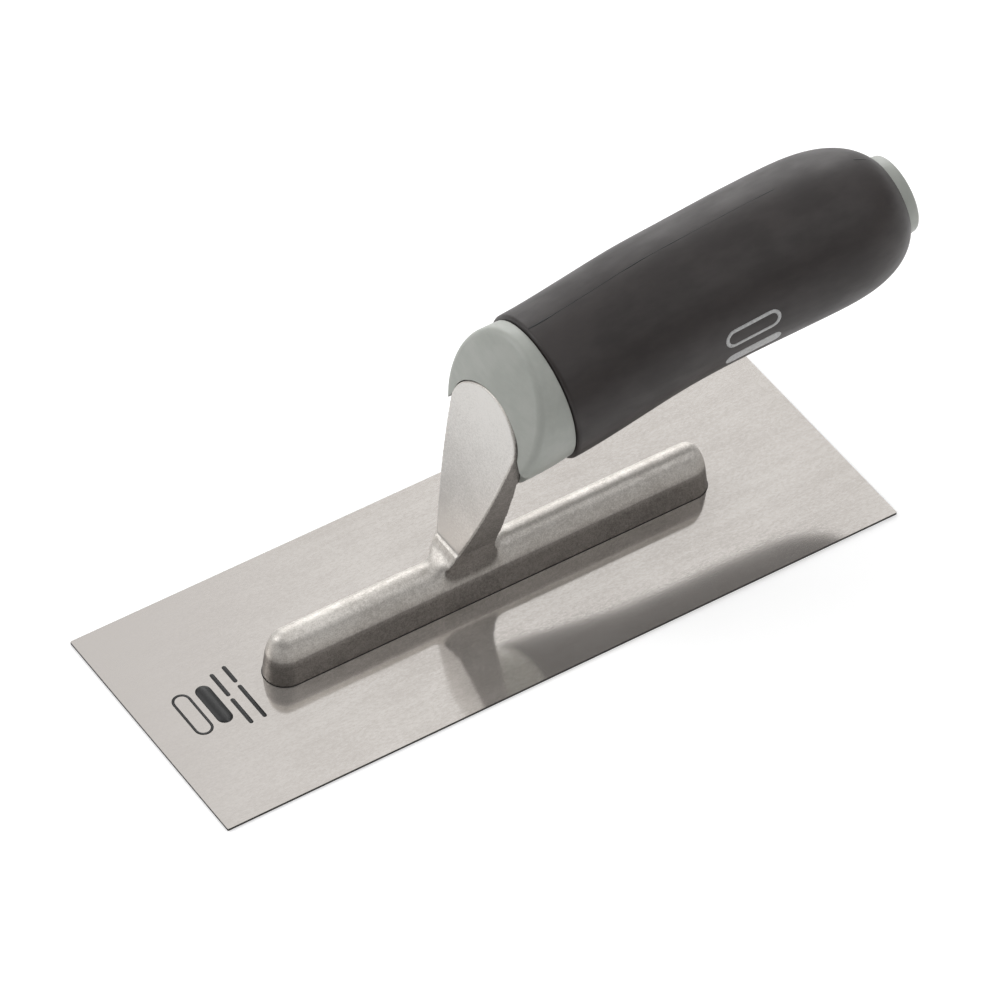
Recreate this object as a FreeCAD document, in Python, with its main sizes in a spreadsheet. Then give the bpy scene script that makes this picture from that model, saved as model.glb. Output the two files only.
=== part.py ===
"""Small plastering trowel: sheet blade riveted to a cast mounting, soft-grip handle screwed to its tang.

Frame: millimetres. The origin is the centre of the blade's underside, +X runs along the blade towards
the handle's rear end, and +Z points up, away from the work.

The handle's pieces are drawn in a frame of their own: X along the handle's axis, starting at the back
of the front collar, where the collar meets the grip. Each of them gets the same Placement, HANDLE.
"""
import FreeCAD, Part
import os
import re
import Sketcher

DOC = FreeCAD.newDocument("trowel")
VECTOR = FreeCAD.Vector
# turns what is drawn about Z so that it lies about the handle's axis, X
ACROSS_HANDLE = FreeCAD.Rotation(VECTOR(0, 1, 0), 90)
# how near, in millimetres, an edge has to lie to a face to count as one of its own
NEAR = 0.01
# at how many points an edge is tested for lying on a face
EDGE_SAMPLES = 5
# how finely the grip is sectioned, along its body and round its rear end
BODY_STEPS = 8
DOME_STEPS = 6

# ---------------------------------------------------------------- driving dimensions
SIZES = {
    # blade: an 8 x 3 inch sheet
    "blade_length": 203.2,
    "blade_width": 76.2,
    "blade_thickness": 0.7,
    "blade_corner": 0.3,
    # rivets through the blade, countersunk from below
    "rivet_count": 6,
    "rivet_pitch": 22.0,
    "rivet_head_radius": 2.6,
    "rivet_stem_radius": 1.8,
    "rivet_length": 7.0,
    # rib of the mounting, which stiffens the blade
    "rib_length": 134.1,
    "rib_width": 11.9,
    "rib_top": 14.8,
    "rib_draft": 6.5,
    "rib_shoulder_z": 6.9,
    "rib_crown_lean": 64.0,
    "rib_crown_radius": 4.0,
    # shank: a leaning flat face, wedge-shaped from the side, on a foot that flares out on the rib
    "face_foot_x": -12.25,
    "face_foot_z": 19.2,
    "face_lean": 15.7,
    "face_top_z": 65.5,
    "foot_ledge": 0.8,
    "foot_front_radius": 6.5,
    "foot_rear_radius": 4.2,
    "foot_sink": 0.95,
    "foot_root_z": 9.6,
    "foot_nose_width": 4.0,
    "shank_back_x": -1.1,
    "shank_foot_width": 7.0,
    "shank_face_width": 11.0,
    "shank_head_width": 28.8,
    "shank_side_radius": 178.0,
    "head_widest_z": 55.0,
    "head_side_radius": 8.0,
    "head_turn_width": 23.6,
    "head_turn_z": 60.9,
    "head_top_radius": 17.4,
    "neck_back_x": 0.4,
    "head_back_x": 5.0,
    "head_back_z": 45.0,
    "shank_edge_rounding": 0.5,
    # handle axis, and the tang that lies on it
    "handle_x": 13.25,
    "handle_z": 61.1,
    "handle_tilt": 5.75,
    "tang_start": -9.0,
    "tang_root_radius": 6.0,
    "tang_end_radius": 5.5,
    "tang_end": 62.0,
    "tang_hole_depth": 22.0,
    "tang_clearance": 0.1,
    "tang_end_gap": 0.5,
    # front collar
    "collar_back_radius": 19.15,
    "collar_front_radius": 18.34,
    "collar_barrel_radius": 95.0,
    "collar_length": 24.0,
    "collar_rim": 2.2,
    "collar_front": -14.5,
    "collar_dome_radius": 100.0,
    "collar_dome_lean": 22.2,
    "opening_top_z": 57.3,
    "opening_top_width": 26.7,
    "opening_foot_z": 39.0,
    "opening_foot_width": 50.9,
    "opening_back_x": 0.6,
    "opening_ahead": 3.0,
    "head_clearance": 0.2,
    # grip: round sections whose centres arch above the handle's axis
    "grip_start": 0.3,
    "grip_front_radius": 20.2,
    "grip_waist": 42.0,
    "grip_waist_radius": 20.1,
    "grip_palm_radius": 20.7,
    "grip_arch": 3.0,
    "grip_front_edge": 1.0,
    "dome_start": 80.0,
    "dome_length": 30.6,
    "dome_power": 2.7,
    "dome_end": 107.4,
    "grip_wall": 3.5,
    "cut_beyond": 1.0,
    # core, cap, screw and washer
    "core_end": 104.0,
    "cap_base_radius": 11.5,
    "cap_top_radius": 10.8,
    "cap_end": 111.3,
    "cap_base_depth": 0.5,
    "cap_edge": 0.7,
    "cap_spigot_radius": 6.9,
    "cap_spigot_length": 5.0,
    "screw_radius": 3.0,
    "screw_length": 44.0,
    "screw_head_radius": 5.0,
    "screw_head_height": 6.0,
    "screw_socket_flats": 5.0,
    "screw_socket_depth": 3.0,
    "screw_seat": 88.0,
    "screw_fit": 0.05,
    "screw_clearance": 0.3,
    "washer_radius": 6.25,
    "washer_hole_radius": 3.2,
    "washer_thickness": 1.6,
    "counterbore_radius": 7.0,
}

SHEET = DOC.addObject("Spreadsheet::Sheet", "Sizes")
for row, (alias, number) in enumerate(SIZES.items(), start=1):
    SHEET.set("A%d" % row, alias)
    SHEET.set("B%d" % row, str(number))
    SHEET.setAlias("B%d" % row, alias)
DOC.recompute()


def size(alias):
    """Value of one driving dimension."""
    return float(SHEET.get(alias))


def spell(text):
    """Expression text for FreeCAD: every dimension's name gets the sheet's name before it."""
    return re.sub(r"[a-z_]+", lambda word: "Sizes." + word[0] if word[0] in SIZES else word[0], text)


def value(text):
    """What an expression comes to now."""
    return float(SHEET.evalExpression(spell(text)))


def bind(thing, **expressions):
    """Ties a feature's properties to the sheet. In a keyword '__' stands for the dot of a path."""
    for path, text in expressions.items():
        thing.setExpression(path.replace("__", "."), spell(text))
    return thing


def made(kind, name, **expressions):
    """A new object of the document, bound to the sheet."""
    return bind(DOC.addObject(kind, name), **expressions)


# ---------------------------------------------------------------- sketches
def pin(sketch, edge, end, x, y):
    """Fixes one end of an edge at the place that two expressions give."""
    for kind, text in (("DistanceX", x), ("DistanceY", y)):
        number = sketch.addConstraint(Sketcher.Constraint(kind, -1, 1, edge, end, value(text)))
        sketch.setExpression("Constraints[%d]" % number, spell(text))


def closed_outline(sketch, corners):
    """Draws a closed outline. A corner is (x, y), or (x, y, radius, side) where an arc leads on to the
    next corner; side is +1 where the arc bulges to the left of the way there and -1 to the right."""
    places = [VECTOR(value(corner[0]), value(corner[1]), 0) for corner in corners]
    for index, corner in enumerate(corners):
        here, there = places[index], places[(index + 1) % len(places)]
        if len(corner) == 2:
            edge = sketch.addGeometry(Part.LineSegment(here, there), False)
            start, finish = 1, 2
        else:
            chord = there - here
            radius = value(corner[2])
            rise = radius - (radius ** 2 - (chord.Length / 2) ** 2) ** 0.5
            left = VECTOR(-chord.y, chord.x, 0).normalize()
            arc = Part.Arc(here, here + chord / 2 + left * rise * corner[3], there)
            edge = sketch.addGeometry(arc, False)
            # a sketch stores every arc anticlockwise
            start, finish = (1, 2) if corner[3] < 0 else (2, 1)
            number = sketch.addConstraint(Sketcher.Constraint("Radius", edge, radius))
            sketch.setExpression("Constraints[%d]" % number, spell(corner[2]))
        pin(sketch, edge, start, corner[0], corner[1])
        if index:
            sketch.addConstraint(Sketcher.Constraint("Coincident", edge - 1, last_finish, edge, start))
        else:
            first_start = start
        last_finish = finish
    sketch.addConstraint(Sketcher.Constraint("Coincident", edge, last_finish, 0, first_start))


def sketch_on(body, role, name, **offsets):
    """A sketch on one of the body's own origin planes; offsets bind its AttachmentOffset."""
    plane = [item for item in body.Origin.OriginFeatures if item.Role == role][0]
    sketch = body.newObject("Sketcher::SketchObject", name)
    sketch.AttachmentSupport = [(plane, "")]
    sketch.MapMode = "FlatFace"
    bind(sketch, **{"AttachmentOffset__" + path: text for path, text in offsets.items()})
    return sketch


def free_sketch(name, normal):
    """A sketch outside any body, on the plane through the origin across 'normal' ('X', 'Y' or 'Z')."""
    sketch = DOC.addObject("Sketcher::SketchObject", name)
    turns = {
        "X": FreeCAD.Rotation(VECTOR(1, 1, 1), 120),
        "Y": FreeCAD.Rotation(VECTOR(1, 0, 0), 90),
        "Z": FreeCAD.Rotation(),
    }
    sketch.Placement = FreeCAD.Placement(VECTOR(0, 0, 0), turns[normal])
    return sketch


# ---------------------------------------------------------------- features
def body(name):
    """An empty PartDesign body."""
    return DOC.addObject("PartDesign::Body", name)


def feature(owner, kind, name, sketch, **expressions):
    """A PartDesign feature made from a sketch."""
    item = owner.newObject("PartDesign::" + kind, name)
    item.Profile = sketch
    bind(item, **expressions)
    return item


def rounded(owner, base, name, radius, chosen):
    """Fillets those edges of a PartDesign feature that the test picks."""
    DOC.recompute()
    names = ["Edge%d" % (n + 1) for n, edge in enumerate(base.Shape.Edges) if chosen(edge)]
    item = owner.newObject("PartDesign::Fillet", name)
    item.Base = (base, names)
    return bind(item, Radius=radius)


def filleted(name, base, radius, chosen):
    """Fillets those edges of a Part object that the test picks."""
    DOC.recompute()
    item = DOC.addObject("Part::Fillet", name)
    item.Base = base
    item.Edges = [(number, size(radius), size(radius))
                  for number, edge in enumerate(base.Shape.Edges, start=1) if chosen(edge)]
    return item


def row_of(owner, original, name, count, pitch):
    """Repeats a feature along +X."""
    item = owner.newObject("PartDesign::LinearPattern", name)
    item.Originals = [original]
    item.Direction = ([axis for axis in owner.Origin.OriginFeatures if axis.Role == "X_Axis"][0], [""])
    bind(item, Length="%s * ( %s - 1 )" % (pitch, count), Occurrences=count)
    owner.Tip = item
    return item


def joined(kind, name, *pieces):
    """A Part boolean of the pieces: kind is 'Cut', 'MultiFuse' or 'MultiCommon'."""
    item = DOC.addObject("Part::" + kind, name)
    if kind == "Cut":
        item.Base, item.Tool = pieces
    else:
        item.Shapes = list(pieces)
    return item


def extruded(name, sketch, length):
    """A sketch drawn out to both sides of its plane, 'length' in all."""
    item = made("Part::Extrusion", name, LengthFwd=length)
    item.Base = sketch
    item.DirMode = "Normal"
    item.Solid = True
    item.Symmetric = True
    return item


def rod(name, start, finish, radius, end_radius=None):
    """A round bar along the handle's axis, in the handle's frame; with two radii it tapers."""
    if end_radius is None:
        item = made("Part::Cylinder", name, Radius=radius)
    else:
        item = made("Part::Cone", name, Radius1=radius, Radius2=end_radius)
    item.Placement.Rotation = ACROSS_HANDLE
    return bind(item, Height="%s - ( %s )" % (finish, start), Placement__Base__x=start)


def on_handle(item):
    """Gives an object drawn in the handle's frame its place on the tool."""
    item.Placement.Rotation = FreeCAD.Rotation(VECTOR(0, -1, 0), 1)
    return bind(
        item,
        Placement__Base__x="handle_x",
        Placement__Base__z="handle_z",
        Placement__Rotation__Angle="handle_tilt",
    )


# ---------------------------------------------------------------- blade and rivets
FIRST_RIVET = "- rivet_pitch * ( rivet_count - 1 ) / 2"


def blade():
    """Flat sheet with rounded corners and a row of countersinks that widen towards the underside."""
    item = body("blade")
    half_long, half_wide = "blade_length / 2", "blade_width / 2"
    sheet = sketch_on(item, "XY_Plane", "BladeSheet")
    closed_outline(sheet, [
        ("- " + half_long, "- " + half_wide),
        (half_long, "- " + half_wide),
        (half_long, half_wide),
        ("- " + half_long, half_wide),
    ])
    plate = feature(item, "Pad", "BladePad", sheet, Length="blade_thickness")
    corners = rounded(item, plate, "BladeCorners", "blade_corner",
                      lambda edge: abs(edge.tangentAt(edge.FirstParameter).z) > 0.9)
    seat = sketch_on(item, "XZ_Plane", "RivetSeat", Base__x=FIRST_RIVET)
    closed_outline(seat, [
        ("0", "0"),
        ("rivet_head_radius", "0"),
        ("rivet_stem_radius", "blade_thickness"),
        ("0", "blade_thickness"),
    ])
    sink = feature(item, "Groove", "Countersink", seat)
    sink.ReferenceAxis = (seat, ["V_Axis"])
    check_cut(corners, sink)
    row_of(item, sink, "Countersinks", "rivet_count", "rivet_pitch")
    return item


def check_cut(before, after):
    """Stops the build if a cutting feature took nothing away."""
    DOC.recompute()
    if not after.Shape.Volume < before.Shape.Volume - NEAR:
        raise RuntimeError(after.Name + " cuts nothing")


def rivets(name, stem_radius, length):
    """The row of rivets: a cone that fills the countersink, and a stem that goes up into the rib."""
    pieces = []
    for number in range(int(size("rivet_count"))):
        place = "%s + %d * rivet_pitch" % (FIRST_RIVET, number)
        head = made("Part::Cone", "%s_head_%d" % (name, number), Radius1="rivet_head_radius",
                    Radius2="rivet_stem_radius", Height="blade_thickness", Placement__Base__x=place)
        stem = made("Part::Cylinder", "%s_stem_%d" % (name, number), Radius=stem_radius,
                    Height=length, Placement__Base__x=place, Placement__Base__z="blade_thickness")
        pieces.append(joined("MultiFuse", "%s_%d" % (name, number), head, stem))
    group = DOC.addObject("Part::Compound", name)
    group.Links = pieces
    return group


# ---------------------------------------------------------------- mounting
def rib():
    """Long rib with round ends: one section, drawn out along the blade and turned at both ends. Its
    drafted wall leads through a slow curve into the crown's tighter one."""
    item = body("Rib")
    half_wide = "rib_width / 2"
    half_shoulder = "( rib_width / 2 - ( rib_shoulder_z - blade_thickness ) * tan( rib_draft ) )"
    half_crown = "rib_crown_radius * sin( rib_crown_lean )"
    crown_z = "rib_top - rib_crown_radius * ( 1 - cos( rib_crown_lean ) )"
    flank_radius = "( %s - %s ) / ( cos( rib_draft ) - sin( rib_crown_lean ) )" % (half_shoulder, half_crown)
    right_side = [
        (half_wide, "blade_thickness"),
        (half_shoulder, "rib_shoulder_z", flank_radius, -1),
        (half_crown, crown_z, "rib_crown_radius", -1),
    ]
    section = sketch_on(item, "YZ_Plane", "RibSection")
    closed_outline(section, [
        ("- " + half_wide, "blade_thickness"),
        *right_side,
        ("- " + half_crown, crown_z, flank_radius, -1),
        ("- " + half_shoulder, "rib_shoulder_z"),
    ])
    bar = feature(item, "Pad", "RibBar", section, Length="rib_length - rib_width")
    bar.Midplane = True
    for name, sign in (("RibRear", ""), ("RibFront", "- ")):
        half = sketch_on(item, "XZ_Plane", name + "Half", Base__x=sign + "( rib_length - rib_width ) / 2")
        closed_outline(half, [("0", "blade_thickness"), *right_side, ("0", "rib_top")])
        end = feature(item, "Revolution", name, half)
        end.ReferenceAxis = (half, ["V_Axis"])
    return item


def shank(name, gap="0", ahead="0"):
    """Leaning shank, wedge-shaped from the side: its side view and its front view, each drawn out and
    then combined. The gap widens it and 'ahead' moves its face forward, to make the room for it in
    another piece."""
    face_x = "face_foot_x - %s" % ahead
    top_z = "face_top_z + %s" % gap
    top_x = "%s + ( %s - face_foot_z ) * tan( face_lean )" % (face_x, top_z)
    side = free_sketch(name + "Side", "Y")
    closed_outline(side, [
        (face_x, "face_foot_z"),
        (face_x, "foot_root_z"),
        ("shank_back_x", "foot_root_z"),
        ("shank_back_x", "rib_top + foot_rear_radius"),
        ("neck_back_x + %s" % gap, "head_back_z - %s" % gap),
        ("head_back_x", "head_back_z - %s" % gap),
        ("head_back_x", top_z),
        (top_x, top_z),
    ])
    return joined("MultiCommon", name, extruded(name + "SideBlock", side, "2 * shank_head_width"),
                  shank_front(name, gap))


def shank_front(name, gap="0"):
    """The shank's front view, drawn out along the blade."""
    front = free_sketch(name + "Front", "X")
    foot = "( shank_foot_width / 2 + %s )" % gap
    narrow = "( shank_face_width / 2 + %s )" % gap
    wide = "( shank_head_width / 2 + %s )" % gap
    turn = "( head_turn_width / 2 + %s )" % gap
    turn_z = "head_turn_z + %s" % gap
    closed_outline(front, [
        (foot, "foot_root_z"),
        (narrow, "face_foot_z", "shank_side_radius", -1),
        (wide, "head_widest_z", "head_side_radius + %s" % gap, -1),
        (turn, turn_z, "head_top_radius + %s" % gap, -1),
        ("- " + turn, turn_z, "head_side_radius + %s" % gap, -1),
        ("- " + wide, "head_widest_z", "shank_side_radius", -1),
        ("- " + narrow, "face_foot_z"),
        ("- " + foot, "foot_root_z"),
    ])
    return extruded(name + "FrontBlock", front, "2 * rib_length")


def foot():
    """Foot of the shank, which flares out on to the rib's crown in front and behind and narrows there."""
    nose_x, heel_x = "face_foot_x - foot_front_radius", "shank_back_x + foot_rear_radius"
    flare_z = "rib_top - foot_sink"
    side = free_sketch("FootSide", "Y")
    closed_outline(side, [
        ("face_foot_x", "face_foot_z"),
        ("face_foot_x - foot_ledge", "face_foot_z - foot_ledge / 2", "foot_front_radius", 1),
        (nose_x, flare_z),
        (nose_x, "foot_root_z"),
        (heel_x, "foot_root_z"),
        (heel_x, flare_z, "foot_rear_radius", 1),
        ("shank_back_x", flare_z + " + foot_rear_radius"),
    ])
    plan = free_sketch("FootPlan", "Z")
    half_wide, half_nose = "( shank_face_width / 2 + foot_ledge )", "foot_nose_width / 2"
    closed_outline(plan, [
        (nose_x, half_nose),
        (nose_x, "- " + half_nose),
        ("face_foot_x - foot_ledge", "- " + half_wide),
        ("shank_back_x", "- " + half_wide),
        (heel_x, "- " + half_nose),
        (heel_x, half_nose),
        ("shank_back_x", half_wide),
        ("face_foot_x - foot_ledge", half_wide),
    ])
    return joined("MultiCommon", "Foot", extruded("FootSideBlock", side, "2 * shank_head_width"),
                  extruded("FootPlanBlock", plan, "3 * face_foot_z"), shank_front("Foot"))


def placed(name, piece):
    """Wraps a piece drawn in the handle's frame and gives it its place on the tool."""
    wrap = DOC.addObject("Part::Compound", name)
    wrap.Links = [piece]
    return on_handle(wrap)


def soft_shank():
    """The shank on its foot, with its front face's edges rounded."""
    def bounds_face(edge):
        offsets = [point.x - size("face_foot_x") - (point.z - size("face_foot_z")) * value("tan( face_lean )")
                   for point in edge.discretize(EDGE_SAMPLES)]
        on_face = max(abs(offset) for offset in offsets) < NEAR
        return on_face and edge.BoundBox.ZMax > size("face_foot_z") + NEAR

    footed = joined("MultiFuse", "ShankFooted", shank("Shank"), foot())
    return filleted("ShankSoft", footed, "shank_edge_rounding", bounds_face)


def mounting():
    """One casting: rib, shank and tang, with blind holes for the rivets and the handle's screw."""
    tang = rod("Tang", "tang_start", "tang_end", "tang_root_radius", "tang_end_radius")
    tapped = rod("TangHole", "tang_end - tang_hole_depth", "tang_end", "screw_radius + screw_fit")
    casting = joined("MultiFuse", "Casting", rib(), soft_shank(), placed("PlacedTang", tang))
    holes = joined("MultiFuse", "MountingHoles", placed("PlacedTangHole", tapped),
                   rivets("RivetHoles", "rivet_stem_radius", "rivet_length"))
    return joined("Cut", "mounting", casting, holes)


# ---------------------------------------------------------------- handle
def collar_opening():
    """Room in the collar for the shank's head. Below the head it widens to both sides and runs out
    through the collar's underside."""
    flare = free_sketch("OpeningFlare", "X")
    half_top, half_foot = "opening_top_width / 2", "opening_foot_width / 2"
    closed_outline(flare, [
        ("- " + half_foot, "opening_foot_z"),
        (half_foot, "opening_foot_z"),
        (half_top, "opening_top_z"),
        ("- " + half_top, "opening_top_z"),
    ])
    legs = made("Part::Extrusion", "OpeningLegs", LengthFwd="2 * collar_length",
                Placement__Base__x="opening_back_x - 2 * collar_length")
    legs.Base = flare
    legs.DirMode = "Normal"
    legs.Solid = True
    return joined("MultiFuse", "CollarOpening", legs, shank("HeadRoom", "head_clearance", "opening_ahead"))


def front_collar():
    """Barrel-shaped collar with a slightly domed, slanted front that lies round the shank's head."""
    barrel = body("CollarBarrel")
    outline = sketch_on(barrel, "XZ_Plane", "CollarOutline")
    closed_outline(outline, [
        ("- collar_length", "0"),
        ("0", "0"),
        ("0", "- collar_back_radius", "collar_barrel_radius", 1),
        ("- collar_length", "- collar_front_radius"),
    ])
    turned = feature(barrel, "Revolution", "CollarTurned", outline)
    turned.ReferenceAxis = (outline, ["H_Axis"])
    dome = made("Part::Sphere", "CollarDome", Radius="collar_dome_radius",
                Placement__Base__x="collar_front + collar_dome_radius * cos( collar_dome_lean )",
                Placement__Base__z="- collar_dome_radius * sin( collar_dome_lean )")
    soft = filleted("CollarSoft", joined("MultiCommon", "CollarDomed", barrel, dome), "collar_rim",
                    lambda edge: edge.BoundBox.XMax < -NEAR and edge.BoundBox.YLength > size("collar_rim"))
    bore = rod("CollarBore", "tang_start", "0", "tang_root_radius + tang_clearance")
    bored = joined("Cut", "CollarBored", soft, bore)
    return joined("Cut", "front_collar", placed("PlacedCollar", bored), collar_opening())


def grip_radius(place):
    """Radius of the grip there: a waist for the fingers, a fuller palm, then a superellipse."""
    if value(place) < size("grip_waist"):
        swell = "( grip_front_radius - grip_waist_radius )"
        part = "( grip_waist - ( %s ) ) / grip_waist" % place
    elif value(place) < size("dome_start"):
        swell = "( grip_palm_radius - grip_waist_radius )"
        part = "( %s - grip_waist ) / ( dome_start - grip_waist )" % place
    else:
        reach = "( ( %s - dome_start ) / dome_length )" % place
        return "grip_palm_radius * ( 1 - %s ^ dome_power ) ^ ( 1 / dome_power )" % reach
    return "grip_waist_radius + %s * sin( 90 * ( %s ) ) ^ 2" % (swell, part)


def grip_rise(place):
    """Height of the grip's centre above the handle's axis: an arch whose crest is at the waist."""
    if value(place) < size("grip_waist"):
        return "grip_arch * sin( 90 * ( %s ) / grip_waist ) ^ 2" % place
    return "grip_arch * cos( 90 * ( %s - grip_waist ) / ( dome_end - grip_waist ) )" % place


def grip_loft(name, start, finish, wall):
    """Smooth solid through round sections, made smaller all round by the wall. The sections are even
    along the grip, and even in angle round its rounded rear end."""
    places = ["%s + %d / %d * ( dome_start - ( %s ) )" % (start, number, BODY_STEPS, start)
              for number in range(BODY_STEPS)]
    last_angle = "asin( ( ( %s - dome_start ) / dome_length ) ^ ( dome_power / 2 ) )" % finish
    for number in range(DOME_STEPS + 1):
        angle = "%s * %d / %d" % (last_angle, number, DOME_STEPS)
        places.append("dome_start + dome_length * sin( %s ) ^ ( 2 / dome_power )" % angle)
    rings = []
    for number, place in enumerate(places):
        ring = made("Part::Circle", "%s_ring_%d" % (name, number),
                    Radius="%s - %s" % (grip_radius(place), wall),
                    Placement__Base__x=place,
                    Placement__Base__z=grip_rise(place))
        ring.Placement.Rotation = ACROSS_HANDLE
        rings.append(ring)
    loft = DOC.addObject("Part::Loft", name)
    loft.Sections = rings
    loft.Solid = True
    return loft


def handle_core():
    """Hard inner moulding, with a tapered socket for the tang and a counterbore for the screw's head."""
    socket = rod("TangSocket", "0", "tang_end + tang_end_gap", "tang_root_radius + tang_clearance",
                 "tang_end_radius + tang_clearance")
    through = rod("ScrewBore", "tang_end", "core_end", "screw_radius + screw_clearance")
    counterbore = rod("Counterbore", "screw_seat - washer_thickness", "core_end", "counterbore_radius")
    room = joined("MultiFuse", "CoreRoom", socket, through, counterbore)
    blank = grip_loft("CoreBlank", "0", "core_end", "grip_wall")
    return on_handle(joined("Cut", "handle_core", blank, room))


def grip_sleeve():
    """Soft overmould that follows the core, with a rounded front edge and a round hole for the cap."""
    outer = filleted("GripRounded", grip_loft("GripOuter", "grip_start", "dome_end", "0"), "grip_front_edge",
                     lambda edge: edge.BoundBox.XMax < size("grip_start") + NEAR)
    inner = grip_loft("GripInner", "0", "core_end", "grip_wall")
    cap_hole = rod("CapHole", "core_end - cut_beyond", "dome_end + cut_beyond", "cap_base_radius")
    room = joined("MultiFuse", "GripRoom", inner, cap_hole)
    return on_handle(joined("Cut", "grip_sleeve", outer, room))


def end_cap():
    """Round plug that closes the handle's rear end and stands a little proud of the grip."""
    item = body("end_cap")
    outline = sketch_on(item, "XZ_Plane", "CapOutline")
    spigot_end = "core_end - cap_spigot_length"
    closed_outline(outline, [
        (spigot_end, "0"),
        ("cap_end", "0"),
        ("cap_end", "cap_top_radius"),
        ("dome_end - cap_base_depth", "cap_base_radius"),
        ("core_end", "cap_base_radius"),
        ("core_end", "cap_spigot_radius"),
        (spigot_end, "cap_spigot_radius"),
    ])
    turned = feature(item, "Revolution", "CapTurned", outline)
    turned.ReferenceAxis = (outline, ["H_Axis"])
    rounded(item, turned, "CapEdge", "cap_edge", lambda edge: edge.BoundBox.XMin > size("cap_end") - NEAR)
    return on_handle(item)


def handle_bolt():
    """Socket-head cap screw that draws the handle on to the tang."""
    item = body("handle_bolt")
    outline = sketch_on(item, "XZ_Plane", "BoltOutline")
    head_end = "screw_seat + screw_head_height"
    tip = "screw_seat - screw_length"
    closed_outline(outline, [
        (tip, "0"),
        (head_end, "0"),
        (head_end, "screw_head_radius"),
        ("screw_seat", "screw_head_radius"),
        ("screw_seat", "screw_radius"),
        (tip, "screw_radius"),
    ])
    turned = feature(item, "Revolution", "BoltTurned", outline)
    turned.ReferenceAxis = (outline, ["H_Axis"])
    hexagon = sketch_on(item, "YZ_Plane", "BoltSocket", Base__z=head_end)
    corner = "screw_socket_flats / 2 / cos( 30 )"
    closed_outline(hexagon, [
        ("%s * cos( %d )" % (corner, angle), "%s * sin( %d )" % (corner, angle))
        for angle in range(0, 360, 60)
    ])
    socket = feature(item, "Pocket", "BoltSocketCut", hexagon, Length="screw_socket_depth")
    check_cut(turned, socket)
    return on_handle(item)


def bolt_washer():
    """Plain washer under the screw's head."""
    start = "screw_seat - washer_thickness"
    disc = rod("WasherDisc", start, "screw_seat", "washer_radius")
    hole = rod("WasherHole", start, "screw_seat", "washer_hole_radius")
    return on_handle(joined("Cut", "bolt_washer", disc, hole))


# ---------------------------------------------------------------- the whole tool
SUB_PARTS = [
    blade(),
    rivets("blade_rivets", "rivet_stem_radius", "rivet_length"),
    mounting(),
    front_collar(),
    handle_core(),
    grip_sleeve(),
    end_cap(),
    handle_bolt(),
    bolt_washer(),
]
DOC.recompute()

for item in DOC.Objects:
    if "Invalid" in item.State or "Error" in item.State:
        raise RuntimeError("%s failed: %s" % (item.Name, item.State))
os.makedirs("parts", exist_ok=True)
for item in SUB_PARTS:
    if item.Shape.isNull() or not item.Shape.isValid():
        raise RuntimeError(item.Label + " has no valid shape")
    item.Shape.exportStep("parts/%s.step" % item.Label)
    box = item.Shape.BoundBox
    print("%-14s solids %d  volume %9.1f mm3  x %.1f..%.1f  y %.1f..%.1f  z %.1f..%.1f" % (
        item.Label, len(item.Shape.Solids), item.Shape.Volume,
        box.XMin, box.XMax, box.YMin, box.YMax, box.ZMin, box.ZMax))
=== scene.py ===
"""Looks of a small plastering trowel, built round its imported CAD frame.

Metres, in the row's frame: the origin is the centre of the blade's underside, +X runs along the blade
towards the handle's rear end, and +Z points up. The blade lies flat on the floor.
"""
from math import cos, pi, radians, sin

import bpy
import numpy as np
from mathutils import Matrix, Vector
from mathutils.bvhtree import BVHTree
from mathutils.kdtree import KDTree


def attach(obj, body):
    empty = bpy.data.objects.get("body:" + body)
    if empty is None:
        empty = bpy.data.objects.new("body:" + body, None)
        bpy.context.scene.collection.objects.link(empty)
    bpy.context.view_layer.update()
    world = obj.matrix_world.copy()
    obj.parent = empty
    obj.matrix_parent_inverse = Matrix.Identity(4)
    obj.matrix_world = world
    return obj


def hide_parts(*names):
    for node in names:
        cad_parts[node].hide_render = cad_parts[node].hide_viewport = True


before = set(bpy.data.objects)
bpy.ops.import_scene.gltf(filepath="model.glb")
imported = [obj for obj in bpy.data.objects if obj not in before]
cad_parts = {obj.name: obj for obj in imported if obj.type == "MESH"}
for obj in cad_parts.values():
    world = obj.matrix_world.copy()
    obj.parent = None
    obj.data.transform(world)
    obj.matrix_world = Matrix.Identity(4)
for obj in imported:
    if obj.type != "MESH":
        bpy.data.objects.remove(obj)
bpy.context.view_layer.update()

MM = 0.001

# camera: the direction it stands in, and where its axis passes the origin
VIEW_AZIMUTH = -33.671
VIEW_ELEVATION = 45.361
VIEW_ROLL = 0.623
VIEW_DISTANCE = 1.8343
VIEW_RIGHT = 3.211 * MM
VIEW_UP = 20.035 * MM
VIEW_CLIP = 100.0
LENS = 257.79
SENSOR = 36.0

# sky: where its bright side is (azimuth, elevation), over which cosines it turns from dim to bright,
# and its two levels
SKY_BRIGHT_FROM = (150.0, 68.0)
SKY_TURNS = (0.30, 0.85)
SKY_LEVELS = (0.16, 1.0)

# square soft lights: azimuth, elevation, distance from the handle, size, power
LIGHTS = {
    "key_light": (-130.0, 30.0, 1.4, 0.7, 6.0),
    "back_light": (148.0, 20.0, 1.4, 0.9, 6.5),
    "fill_light": (38.0, 40.0, 1.5, 1.2, 4.0),
}

# floor: its size, how far it lies below the blade, and how much it glows by itself
FLOOR_SIZE = 12.0
FLOOR_GAP = 0.02 * MM
FLOOR_GLOW = 0.25

# handle axis, as in the CAD model
HANDLE_AT = Vector((13.25, 0.0, 61.1)) * MM
HANDLE_TILT = radians(5.75)
HANDLE_AXIS = Vector((cos(HANDLE_TILT), 0.0, sin(HANDLE_TILT)))
HANDLE_UP = Vector((-sin(HANDLE_TILT), 0.0, cos(HANDLE_TILT)))
SIDEWAYS = Vector((0.0, 1.0, 0.0))

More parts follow.
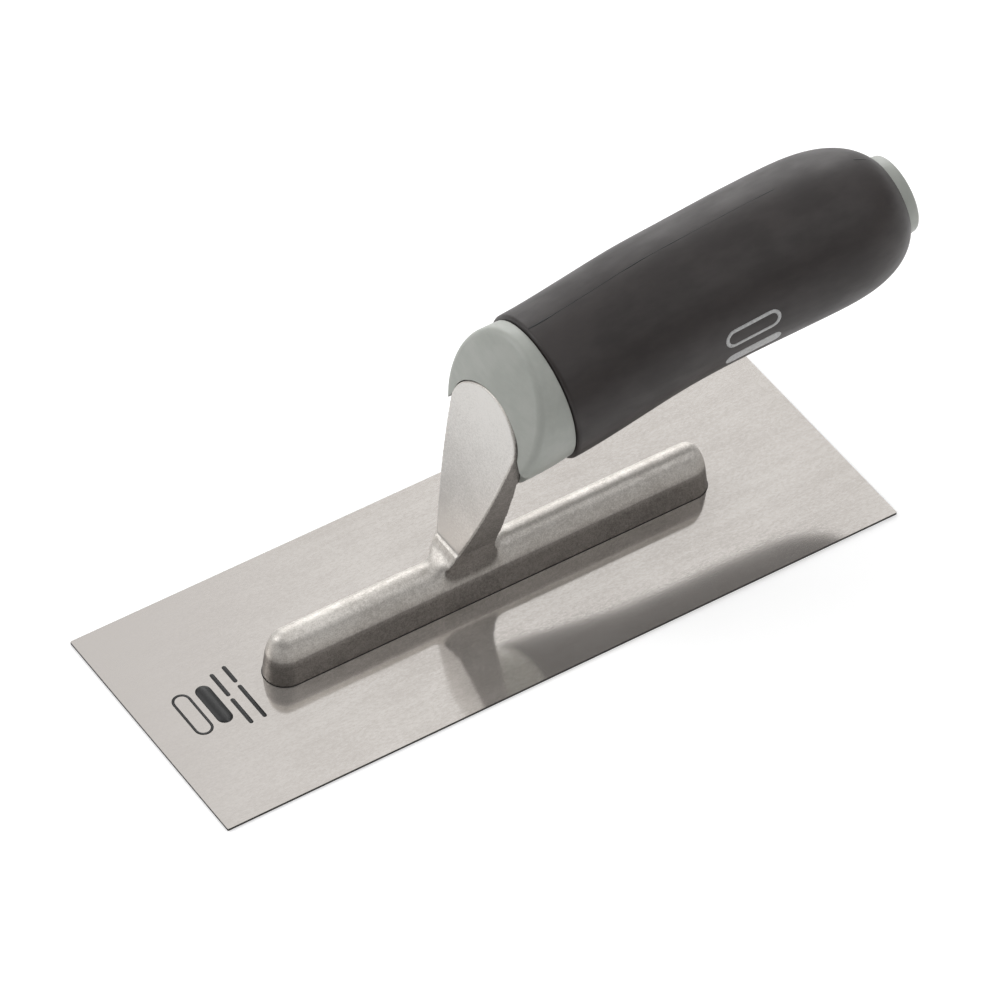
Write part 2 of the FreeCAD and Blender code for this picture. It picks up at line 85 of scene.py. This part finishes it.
# lean of the shank's flat face, and the heights of its foot and its top
FACE_LEAN = radians(15.7)
FACE_NORMAL = (-cos(FACE_LEAN), 0.0, sin(FACE_LEAN))
FACE_FOOT_Z = 19.2 * MM
FACE_TOP_Z = 65.5 * MM

# blade's top face, and the rib's outline on it
BLADE_TOP = 0.7 * MM
RIB_LENGTH = 134.1 * MM
RIB_WIDTH = 11.9 * MM
RIB_TOP = 14.8 * MM

# softening of the casting round the shank's foot: mesh size, how curved inwards a junction is, how far
# from it the softening reaches, how often it is repeated, and the box it stays in
CASTING_VOXEL = 0.42 * MM
JUNCTION_CURVE = 0.012 * MM
JUNCTION_REACH = 3.4 * MM
SOFTENINGS = 110
FOOT_LOW = Vector((-22.0, -7.0, 9.0)) * MM
FOOT_HIGH = Vector((8.0, 7.0, 18.3)) * MM

# dark line round the rib's foot: how far it reaches inwards and outwards, and points round each end
RIB_LINE_IN = 0.1 * MM
RIB_LINE_OUT = 0.12 * MM
RIB_LINE_TURNS = 24

# prints on the blade: centre (x, y), length across the blade and width along it, and the oval's line
BLADE_OVAL = ((-88.7 * MM, -0.3 * MM), 15.6 * MM, 5.2 * MM, 0.75 * MM)
BLADE_BARS = {
    "block": ((-82.3 * MM, -0.2 * MM), 14.4 * MM, 4.3 * MM),
    "dash_1": ((-77.6 * MM, -5.9 * MM), 10.0 * MM, 1.2 * MM),
    "dash_2": ((-77.6 * MM, 4.6 * MM), 9.0 * MM, 1.2 * MM),
    "dash_3": ((-73.6 * MM, -4.4 * MM), 13.0 * MM, 1.2 * MM),
    "dash_4": ((-73.6 * MM, 6.5 * MM), 6.6 * MM, 1.2 * MM),
}

# prints on the grip: centre (arc from the top, way along), length along the grip, width round it,
# and the oval's line or the bar's points round its end and across
GRIP_OVAL = ((27.4 * MM, 53.6 * MM), 16.6 * MM, 5.6 * MM, 1.0 * MM)
GRIP_BAR = ((35.6 * MM, 53.8 * MM), 16.6 * MM, 4.4 * MM, 8, 6)

# mould seam on the grip: how far it lies from the middle, its width, and its two stretches' starts,
# ends and steps
SEAM_SIDE = 1.3 * MM
SEAM_WIDTH = 0.5 * MM
SEAM_STRETCHES = {"front": (0.6 * MM, 76 * MM, 150), "rear": (100 * MM, 106.5 * MM, 20)}
SEAM_WAVES = (3.1 * MM, 7.7 * MM)

# half the thickness of each thin piece laid on a surface
RIB_LINE_LIFT = 0.01 * MM
BLADE_MARK_LIFT = 0.012 * MM
GRIP_MARK_LIFT = 0.015 * MM
SEAM_LIFT = 0.012 * MM

# the grip's skin: radius at which its arcs are measured, and a distance that is outside it everywhere
GRIP_ARC_RADIUS = 20 * MM
OUTSIDE_GRIP = 40 * MM


# ---------------------------------------------------------------- shading helpers
class Shading:
    """One node material, with its Principled shader and short ways to add nodes to it."""

    def __init__(self, name, **sockets):
        self.material = bpy.data.materials.new(name)
        self.material.use_nodes = True
        self.tree = self.material.node_tree
        self.shader = self.tree.nodes["Principled BSDF"]
        for socket, number in sockets.items():
            self.shader.inputs[socket.replace("_", " ")].default_value = number
        self.coordinates = self.add("ShaderNodeTexCoord")
        self.place = self.coordinates.outputs["Object"]
        self.normal = self.coordinates.outputs["Normal"]

    def add(self, kind, settings=None, **inputs):
        """Adds a node. Inputs are numbers or other nodes' sockets; '_' stands for a space."""
        node = self.tree.nodes.new(kind)
        for key, setting in (settings or {}).items():
            setattr(node, key, setting)
        for key, source in inputs.items():
            self.feed(node.inputs[key.replace("_", " ")], source)
        return node

    def feed(self, socket, source):
        """Links a socket to its source, or sets it to a number."""
        if isinstance(source, bpy.types.NodeSocket):
            self.tree.links.new(source, socket)
        else:
            socket.default_value = source

    def maths(self, operation, first, second=0.0):
        node = self.add("ShaderNodeMath", {"operation": operation})
        self.feed(node.inputs[0], first)
        self.feed(node.inputs[1], second)
        return node.outputs[0]

    def mixed(self, *weighted):
        """Sum of sockets, each times its weight."""
        total = 0.0
        for source, weight in weighted:
            node = self.add("ShaderNodeMath", {"operation": "MULTIPLY_ADD"})
            self.feed(node.inputs[0], source)
            node.inputs[1].default_value = weight
            self.feed(node.inputs[2], total)
            total = node.outputs[0]
        return total

    def stretched(self, factors):
        """The object's coordinates, scaled along X, Y and Z."""
        node = self.add("ShaderNodeVectorMath", {"operation": "MULTIPLY"})
        self.feed(node.inputs[0], self.place)
        node.inputs[1].default_value = factors
        return node.outputs[0]

    def noise(self, size, detail=2.0, roughness=0.5, factors=None):
        """Noise with features of about this size in metres, 0 to 1; factors stretch it."""
        place = self.stretched(factors) if factors else self.place
        node = self.add("ShaderNodeTexNoise", {"noise_dimensions": "3D"}, Vector=place,
                        Scale=1.0 / size, Detail=detail, Roughness=roughness)
        return node.outputs["Fac"]

    def span(self, source, low, high, to_low=0.0, to_high=1.0, kind="SMOOTHSTEP"):
        """Maps low..high to to_low..to_high, clamped."""
        node = self.add("ShaderNodeMapRange", {"interpolation_type": kind}, Value=source)
        node.inputs["From Min"].default_value = low
        node.inputs["From Max"].default_value = high
        self.feed(node.inputs["To Min"], to_low)
        self.feed(node.inputs["To Max"], to_high)
        return node.outputs["Result"]

    def blend(self, amount, first, second):
        """Colour between two colours or sockets."""
        node = self.add("ShaderNodeMix", {"data_type": "RGBA"})
        self.feed(node.inputs[0], amount)
        self.feed(node.inputs[6], first)
        self.feed(node.inputs[7], second)
        return node.outputs[2]

    def between(self, amount, first, second):
        """Number between two numbers or sockets."""
        node = self.add("ShaderNodeMix", {"data_type": "FLOAT"})
        self.feed(node.inputs[0], amount)
        self.feed(node.inputs[2], first)
        self.feed(node.inputs[3], second)
        return node.outputs[0]

    def part(self, vector, axis):
        """One component of a vector."""
        return self.add("ShaderNodeSeparateXYZ", Vector=vector).outputs[axis]

    def facing(self, direction):
        """Cosine between the surface's normal and a direction."""
        node = self.add("ShaderNodeVectorMath", {"operation": "DOT_PRODUCT"})
        self.feed(node.inputs[0], self.normal)
        node.inputs[1].default_value = direction
        return node.outputs["Value"]

    def paint(self, source):
        self.feed(self.shader.inputs["Base Color"], source)

    def dull(self, source):
        self.feed(self.shader.inputs["Roughness"], source)

    def bump(self, height, distance, strength=1.0):
        """Bump of this height in metres."""
        node = self.add("ShaderNodeBump", Height=height, Distance=distance, Strength=strength)
        self.feed(self.shader.inputs["Normal"], node.outputs["Normal"])


def grey(level, warmth=0.0):
    """Linear grey as a colour; warmth raises red and lowers blue."""
    return (level * (1 + warmth), level, level * (1 - warmth), 1.0)


# ---------------------------------------------------------------- materials
def blade_steel():
    """Rolled and polished sheet: partly mirror, partly haze, with fine flecks along its length and
    faint cloudy stains. Its sheared edges are painted nearly black as painted shade."""
    look = Shading("blade_steel", Metallic=0.77, Specular_IOR_Level=0.3)
    fleck = look.noise(0.45 * MM, 3.0, 0.65, factors=(0.45, 1.0, 1.0))
    streak = look.noise(2.5 * MM, 2.0, 0.5, factors=(0.12, 1.0, 1.0))
    cloud = look.noise(26 * MM, 3.0, 0.55)
    tone = look.mixed((fleck, 0.55), (streak, 0.2), (cloud, 0.25))
    dark_sheet, pale_sheet = (0.565, 0.530, 0.497, 1.0), (0.695, 0.661, 0.627, 1.0)
    sheet = look.blend(look.span(tone, 0.34, 0.66), dark_sheet, pale_sheet)
    # the base colour is a little darker towards the front corner away from the printed side
    corner = look.mixed((look.part(look.place, "X"), -1.0), (look.part(look.place, "Y"), 0.7))
    corner_sheet = (0.55, 0.520, 0.493, 1.0)
    sheet = look.blend(look.span(corner, 20 * MM, 130 * MM), sheet, corner_sheet)
    # painted shade: faces that stand upright, which are the blade's thin sheared edges, get a nearly black
    # colour
    level = look.maths("ABSOLUTE", look.part(look.normal, "Z"))
    edge = look.span(level, 0.25, 0.6, 1.0, 0.0)
    look.paint(look.blend(edge, sheet, grey(0.035, 0.06)))
    polish = look.span(tone, 0.34, 0.66, 0.10, 0.065)
    look.dull(look.between(edge, polish, 0.5))
    look.bump(fleck, 0.006 * MM, 0.5)
    return look.material


def rivet_steel():
    """Rivet heads ground flush with the blade."""
    look = Shading("rivet_steel", Metallic=1.0)
    scratch = look.noise(0.25 * MM, 3.0, 0.6, factors=(0.05, 1.0, 1.0))
    look.paint(look.blend(look.span(scratch, 0.3, 0.7), grey(0.42, 0.02), grey(0.60, 0.02)))
    look.dull(look.span(scratch, 0.3, 0.7, 0.42, 0.28))
    look.bump(scratch, 0.01 * MM, 0.6)
    return look.material


def cast_alloy():
    """Tumbled casting: fine pebbly grain and darker pits, painted shade on the upright flanks, and a
    brighter linished face on the shank, with painted light towards its top."""
    look = Shading("cast_alloy", Metallic=0.85, Specular_IOR_Level=0.3)
    grain = look.noise(0.34 * MM, 3.0, 0.7)
    pits = look.noise(1.1 * MM, 2.0, 0.5)
    cloud = look.noise(9 * MM, 2.0, 0.5)
    tone = look.span(look.mixed((grain, 0.6), (pits, 0.22), (cloud, 0.18)), 0.36, 0.64)
    # two copies of the cast tone: a lit one, and a darker one that is painted shade
    lit_tumbled = look.blend(tone, (0.47, 0.442, 0.410, 1.0), (0.68, 0.652, 0.615, 1.0))
    skin = look.blend(tone, (0.160, 0.147, 0.136, 1.0), (0.265, 0.247, 0.231, 1.0))
    # painted light and shade: the lit copy where the rib faces up and where the shank doesn't face
    # sideways, the painted shade copy on the upright flanks
    upward = look.part(look.normal, "Z")
    sideward = look.maths("ABSOLUTE", look.part(look.normal, "Y"))
    on_shank = look.span(look.part(look.place, "Z"), RIB_TOP - 1.0 * MM, RIB_TOP + 0.5 * MM)
    lit_rib = look.span(upward, 0.12, 0.27)
    lit_shank = look.span(sideward, 0.55, 0.85, 1.0, 0.0)
    rough_paint = look.blend(look.between(on_shank, lit_rib, lit_shank), skin, lit_tumbled)
    # the linished face: fine scratches, and painted light that makes it a little brighter towards its top
    scratch = look.noise(0.30 * MM, 3.0, 0.65, factors=(1.0, 0.45, 1.0))
    haze = look.noise(7 * MM, 2.0, 0.5)
    height = look.span(look.part(look.place, "Z"), FACE_FOOT_Z, FACE_TOP_Z, kind="LINEAR")
    ground = look.mixed((scratch, 0.48), (haze, 0.12), (height, 0.40))
    dark_face, pale_face = (0.365, 0.348, 0.332, 1.0), (0.600, 0.583, 0.560, 1.0)
    flat_paint = look.blend(look.span(ground, 0.30, 0.70), dark_face, pale_face)
    on_face = look.span(look.facing(FACE_NORMAL), 0.90, 0.99)
    above_rib = look.span(look.part(look.place, "Z"), FACE_FOOT_Z - 0.6 * MM, FACE_FOOT_Z)
    face = look.maths("MULTIPLY", on_face, above_rib)
    look.paint(look.blend(face, rough_paint, flat_paint))
    rough_polish = look.span(tone, 0.0, 1.0, 0.56, 0.46)
    face_polish = look.span(scratch, 0.3, 0.7, 0.40, 0.32)
    look.dull(look.between(face, rough_polish, face_polish))
    look.bump(look.between(face, grain, scratch), 0.03 * MM, 0.6)
    return look.material


def moulded_grey(name, level):
    """Satin grey plastic, slightly green, with a fine moulded grain and faint rub marks."""
    look = Shading(name, Specular_IOR_Level=0.45)
    grain = look.noise(0.28 * MM, 2.0, 0.5)
    cloud = look.noise(9 * MM, 3.0, 0.55)
    rub = look.noise(1.8 * MM, 3.0, 0.65, factors=(1.0, 0.25, 1.0))
    tone = look.mixed((cloud, 0.6), (rub, 0.4))
    low = (level * 0.93, level * 0.97, level * 0.89, 1.0)
    high = (level * 1.04, level * 1.07, level * 0.99, 1.0)
    look.paint(look.blend(look.span(tone, 0.35, 0.65), low, high))
    look.dull(look.span(tone, 0.3, 0.7, 0.46, 0.36))
    look.bump(grain, 0.015 * MM, 0.5)
    return look.material


def grip_rubber():
    """Soft black overmould with a satin sheen, fine grain and a little dust."""
    look = Shading("grip_rubber", Specular_IOR_Level=0.36)
    grain = look.noise(0.3 * MM, 2.0, 0.5)
    cloud = look.noise(14 * MM, 3.0, 0.55)
    handled = look.noise(3.5 * MM, 3.0, 0.6, factors=(0.35, 1.0, 1.0))
    tone = look.mixed((cloud, 0.6), (handled, 0.4))
    dark_rubber, dusty_rubber = (0.0240, 0.0195, 0.0187, 1.0), (0.0340, 0.0280, 0.0268, 1.0)
    look.paint(look.blend(look.span(tone, 0.35, 0.65), dark_rubber, dusty_rubber))
    look.dull(look.span(tone, 0.3, 0.7, 0.52, 0.42))
    look.bump(grain, 0.012 * MM, 0.5)
    return look.material


def hidden_plastic():
    """Plain moulding of the handle's core, which shows only if the grip is taken off."""
    look = Shading("core_plastic", Roughness=0.5)
    cloud = look.noise(6 * MM, 2.0, 0.5)
    look.paint(look.blend(look.span(cloud, 0.3, 0.7), grey(0.16), grey(0.22)))
    look.bump(look.noise(0.4 * MM), 0.02 * MM, 0.5)
    return look.material


def zinc_plate():
    """Zinc-plated fasteners inside the handle."""
    look = Shading("fastener_steel", Metallic=1.0)
    spangle = look.noise(1.2 * MM, 3.0, 0.6)
    look.paint(look.blend(look.span(spangle, 0.3, 0.7), grey(0.48), grey(0.66)))
    look.dull(look.span(spangle, 0.3, 0.7, 0.38, 0.26))
    return look.material


def printed(name, level):
    """Thin satin layer of one tone, a little uneven: ink for the prints, painted shade for the grip's
    seam, and the dark line at the rib's joint.
    """
    look = Shading(name, Roughness=0.5, Specular_IOR_Level=0.4)
    patchiness = look.noise(0.6 * MM, 3.0, 0.6)
    look.paint(look.blend(look.span(patchiness, 0.35, 0.65), grey(level * 0.85), grey(level * 1.1)))
    return look.material


NODE_LOOKS = {
    "blade": blade_steel(),
    "blade_rivets": rivet_steel(),
    "mounting": cast_alloy(),
    "front_collar": moulded_grey("collar_plastic", 0.345),
    "handle_core": hidden_plastic(),
    "grip_sleeve": grip_rubber(),
    "end_cap": moulded_grey("cap_plastic", 0.34),
    "handle_bolt": zinc_plate(),
}
NODE_LOOKS["bolt_washer"] = NODE_LOOKS["handle_bolt"]
for name, look in NODE_LOOKS.items():
    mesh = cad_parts[name].data
    if not mesh.materials:
        mesh.materials.append(look)
    for index in range(len(mesh.materials)):
        mesh.materials[index] = look


# ---------------------------------------------------------------- extra pieces
def add_piece(name, mesh, look):
    """Adds a mesh to the scene as a piece of the tool's one rigid body."""
    mesh.materials.clear()
    mesh.materials.append(look)
    mesh.polygons.foreach_set("use_smooth", [True] * len(mesh.polygons))
    piece = bpy.data.objects.new(name, mesh)
    bpy.context.scene.collection.objects.link(piece)
    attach(piece, "root")
    return piece


def remeshed(source, voxel):
    """A copy of an object's mesh, made of small even quads."""
    copy = source.copy()
    bpy.context.scene.collection.objects.link(copy)
    remesh = copy.modifiers.new("even", "REMESH")
    remesh.mode = "VOXEL"
    remesh.voxel_size = voxel
    shown = copy.evaluated_get(bpy.context.evaluated_depsgraph_get())
    mesh = bpy.data.meshes.new_from_object(shown)
    bpy.data.objects.remove(copy)
    return mesh


def soft_casting():
    """The mounting with its shank running softly into the rib, as a casting's does: the mesh is made
    even, and what lies near the inward corners of the shank's foot is smoothed over and over."""
    mesh = remeshed(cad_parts["mounting"], CASTING_VOXEL)
    count = len(mesh.vertices)
    points, normals = np.empty(count * 3), np.empty(count * 3)
    mesh.vertices.foreach_get("co", points)
    mesh.vertices.foreach_get("normal", normals)
    points, normals = points.reshape(-1, 3), normals.reshape(-1, 3)
    edges = np.empty(len(mesh.edges) * 2, dtype=int)
    mesh.edges.foreach_get("vertices", edges)
    first, second = edges.reshape(-1, 2).T
    links = np.bincount(edges, minlength=count)[:, None]

    def pull():
        """From each vertex to the middle of its neighbours."""
        total = np.stack([np.bincount(first, points[second, axis], count)
                          + np.bincount(second, points[first, axis], count) for axis in range(3)], axis=1)
        return total / links - points

    inside = np.all((points > FOOT_LOW) & (points < FOOT_HIGH), axis=1)
    inward = inside & ((pull() * normals).sum(axis=1) > JUNCTION_CURVE)
    corners = KDTree(int(inward.sum()))
    for index in np.flatnonzero(inward):
        corners.insert(points[index], int(index))
    corners.balance()
    # how much each vertex gives way: all at an inward corner, nothing beyond the reach
    weight = np.zeros((count, 1))
    for index in np.flatnonzero(inside):
        nearness = max(0.0, 1 - corners.find(points[index])[2] / JUNCTION_REACH)
        weight[index] = nearness ** 2 * (3 - 2 * nearness)
    for _ in range(SOFTENINGS):
        points += weight * pull()
    mesh.vertices.foreach_set("co", points.ravel())
    mesh.update()
    piece = add_piece("casting", mesh, NODE_LOOKS["mounting"])
    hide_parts("mounting")


def strip(name, rows, place, closed, lift, look):
    """Adds a thin solid laid on a surface, which it stands above and sinks below by 'lift'. Each row
    holds flat points across it, and 'place' turns a flat point into a point of the surface and its
    normal. A closed strip's last row meets its first."""
    top, bottom = [], []
    for row in rows:
        for flat in row:
            point, normal = place(*flat)
            top.append(point + normal * lift)
            bottom.append(point - normal * lift)
    width, length = len(rows[0]), len(rows)
    layer = len(top)
    faces = []
    for step in range(length if closed else length - 1):
        here, there = step * width, (step + 1) % length * width
        for side in range(width - 1):
            quad = (here + side, there + side, there + side + 1, here + side + 1)
            faces.append(quad)
            faces.append(tuple(layer + corner for corner in reversed(quad)))
        for side, along in ((0, (there, here)), (width - 1, (here, there))):
            start, finish = (end + side for end in along)
            faces.append((start, finish, layer + finish, layer + start))
    if not closed:
        for start, order in ((0, 1), ((length - 1) * width, -1)):
            for side in range(width - 1):
                pair = (start + side, start + side + 1)[::order]
                faces.append((pair[0], pair[1], layer + pair[1], layer + pair[0]))
    mesh = bpy.data.meshes.new(name)
    mesh.from_pydata(top + bottom, [], faces)
    mesh.update()
    add_piece(name, mesh, look)


def stadium(length, width, turns):
    """Points of a slot's outline about the origin, with their outward directions."""
    half = (length - width) / 2
    outline = []
    for end in (1, -1):
        for step in range(turns + 1):
            angle = pi * (step / turns - 0.5) + (0 if end > 0 else pi)
            away = Vector((cos(angle), sin(angle)))
            outline.append((Vector((half * end, 0.0)) + away * width / 2, away))
    return outline


def ring_rows(centre, length, width, line, turns=12):
    """Rows of a flat closed band that follows a slot's outline inwards; its length lies along the
    second axis."""
    rows = []
    for point, away in stadium(length, width, turns):
        inner = point - away * line
        rows.append([(centre[0] - flat.y, centre[1] + flat.x) for flat in (inner, point)])
    return rows


def bar_rows(centre, length, width, turns=6, across=2):
    """Rows of a flat bar with round ends; its length lies along the second axis."""
    half = (length - width) / 2
    angles = [pi / 2 * (step / turns - 1) for step in range(turns + 1)]
    stations = [(-half + width / 2 * sin(angle), width / 2 * cos(angle)) for angle in angles]
    middle = [(half * (2 * step / turns - 1), width / 2) for step in range(1, turns)]
    stations += middle + [(-along, wide) for along, wide in reversed(stations)]
    return [[(centre[0] + wide * (2 * side / across - 1), centre[1] + along) for side in range(across + 1)]
            for along, wide in stations]


def on_blade(x, y):
    return Vector((x, y, BLADE_TOP)), Vector((0.0, 0.0, 1.0))


GRIP = BVHTree.FromObject(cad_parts["grip_sleeve"], bpy.context.evaluated_depsgraph_get())


def on_grip(away, along):
    """Point of the grip's skin: 'away' is the arc round the handle's axis from the top towards the
    camera's side, at GRIP_ARC_RADIUS, and 'along' the way along the axis from the collar."""
    angle = away / GRIP_ARC_RADIUS
    outward = HANDLE_UP * cos(angle) - SIDEWAYS * sin(angle)
    start = HANDLE_AT + HANDLE_AXIS * along + outward * OUTSIDE_GRIP
    point, normal, _, _ = GRIP.ray_cast(start, -outward)
    return point, normal


def rib_line():
    """Dark line where the rib meets the blade."""
    rows = [[tuple(point - away * RIB_LINE_IN), tuple(point + away * RIB_LINE_OUT)]
            for point, away in stadium(RIB_LENGTH, RIB_WIDTH, RIB_LINE_TURNS)]
    # a nearly black line along the joint of rib and blade
    dark_joint = printed("rib_joint_dark", 0.02)
    strip("rib_line", rows, on_blade, True, RIB_LINE_LIFT, dark_joint)


def blade_mark():
    """Plain printed bars and an empty oval near the blade's front end, with no lettering."""
    ink_and_shade = printed("dark_ink", 0.012)
    oval = ring_rows(*BLADE_OVAL)
    strip("blade_mark_oval", oval, on_blade, True, BLADE_MARK_LIFT, ink_and_shade)
    for name, sizes in BLADE_BARS.items():
        bar = bar_rows(*sizes)
        strip("blade_mark_" + name, bar, on_blade, False, BLADE_MARK_LIFT, ink_and_shade)


def grip_mark():
    """Plain printed oval and bar on the grip's flank, with no lettering."""
    ink_and_shade = printed("pale_ink", 0.42)
    strip("grip_mark_oval", ring_rows(*GRIP_OVAL), on_grip, True, GRIP_MARK_LIFT, ink_and_shade)
    strip("grip_mark_bar", bar_rows(*GRIP_BAR), on_grip, False, GRIP_MARK_LIFT, ink_and_shade)


def grip_seam():
    """Mould seam along the grip's top, drawn as a thin dark line of painted shade, wider in a few places.
    """
    # painted shade: the seam's groove as a nearly black line
    ink_and_shade = printed("seam_shadow", 0.005)
    for name, (start, finish, steps) in SEAM_STRETCHES.items():
        rows = []
        for step in range(steps + 1):
            along = start + (finish - start) * step / steps
            wave = sin(along / SEAM_WAVES[0]) * sin(along / SEAM_WAVES[1] + 1.0)
            half = SEAM_WIDTH / 2 * (0.5 + 0.9 * max(0.0, wave)) * (1 - 0.6 * step / steps)
            rows.append([(-SEAM_SIDE - half, along), (-SEAM_SIDE + half, along)])
        strip("grip_seam_" + name, rows, on_grip, False, SEAM_LIFT, ink_and_shade)


soft_casting()
rib_line()
blade_mark()
grip_mark()
grip_seam()


# ---------------------------------------------------------------- stage, light and camera
def floor():
    """Plain pale floor just under the blade."""
    bpy.ops.mesh.primitive_plane_add(size=FLOOR_SIZE, location=(0.0, 0.0, -FLOOR_GAP))
    ground = bpy.context.object
    ground.name = "floor"
    look = Shading("floor_pale", Roughness=0.9, Emission_Color=grey(1.0), Emission_Strength=FLOOR_GLOW)
    cloud = look.noise(0.4, 2.0, 0.5)
    look.paint(look.blend(cloud, grey(0.93), grey(0.95)))
    ground.data.materials.append(look.material)


def sky():
    """Soft white studio: bright behind and above the trowel, dim on the camera's side."""
    world = bpy.data.worlds.new("studio")
    bpy.context.scene.world = world
    world.use_nodes = True
    tree = world.node_tree
    place = tree.nodes.new("ShaderNodeTexCoord")
    towards = tree.nodes.new("ShaderNodeVectorMath")
    towards.operation = "DOT_PRODUCT"
    towards.inputs[1].default_value = direction(*SKY_BRIGHT_FROM)
    level = tree.nodes.new("ShaderNodeMapRange")
    level.interpolation_type = "SMOOTHSTEP"
    level.inputs["From Min"].default_value = SKY_TURNS[0]
    level.inputs["From Max"].default_value = SKY_TURNS[1]
    level.inputs["To Min"].default_value = SKY_LEVELS[0]
    level.inputs["To Max"].default_value = SKY_LEVELS[1]
    background = tree.nodes["Background"]
    tree.links.new(place.outputs["Generated"], towards.inputs[0])
    tree.links.new(towards.outputs["Value"], level.inputs["Value"])
    tree.links.new(level.outputs["Result"], background.inputs["Strength"])
    background.inputs["Color"].default_value = (1.0, 1.0, 1.0, 1.0)


def softbox(name, azimuth, elevation, distance, size, power):
    """Square area light that faces the handle's front end from that side."""
    light = bpy.data.lights.new(name, "AREA")
    light.shape = "SQUARE"
    light.size = size
    light.energy = power
    lamp = bpy.data.objects.new(name, light)
    bpy.context.scene.collection.objects.link(lamp)
    away = direction(azimuth, elevation)
    lamp.location = HANDLE_AT + away * distance
    lamp.rotation_euler = away.to_track_quat("Z", "Y").to_euler()


def direction(azimuth, elevation):
    """Unit vector towards something at that azimuth (0 is -Y, 90 is +X) and elevation, in degrees."""
    turn, rise = radians(azimuth), radians(elevation)
    return Vector((sin(turn) * cos(rise), -cos(turn) * cos(rise), sin(rise)))


def camera():
    """The photographer's view: a long lens from the front left, looking down."""
    back = direction(VIEW_AZIMUTH, VIEW_ELEVATION)
    level_right = Vector((cos(radians(VIEW_AZIMUTH)), sin(radians(VIEW_AZIMUTH)), 0.0))
    level_up = back.cross(level_right)
    roll = radians(VIEW_ROLL)
    right = level_right * cos(roll) + level_up * sin(roll)
    up = level_up * cos(roll) - level_right * sin(roll)
    data = bpy.data.cameras.new("camera")
    data.lens = LENS
    data.sensor_width = SENSOR
    data.clip_end = VIEW_CLIP
    eye = bpy.data.objects.new("camera", data)
    bpy.context.scene.collection.objects.link(eye)
    place = right * VIEW_RIGHT + up * VIEW_UP + back * VIEW_DISTANCE
    turn = Matrix((right, up, back)).transposed()
    eye.matrix_world = Matrix.Translation(place) @ turn.to_4x4()
    bpy.context.scene.camera = eye


floor()
sky()
for name, setting in LIGHTS.items():
    softbox(name, *setting)
camera()
bpy.context.scene.view_settings.view_transform = "Standard"
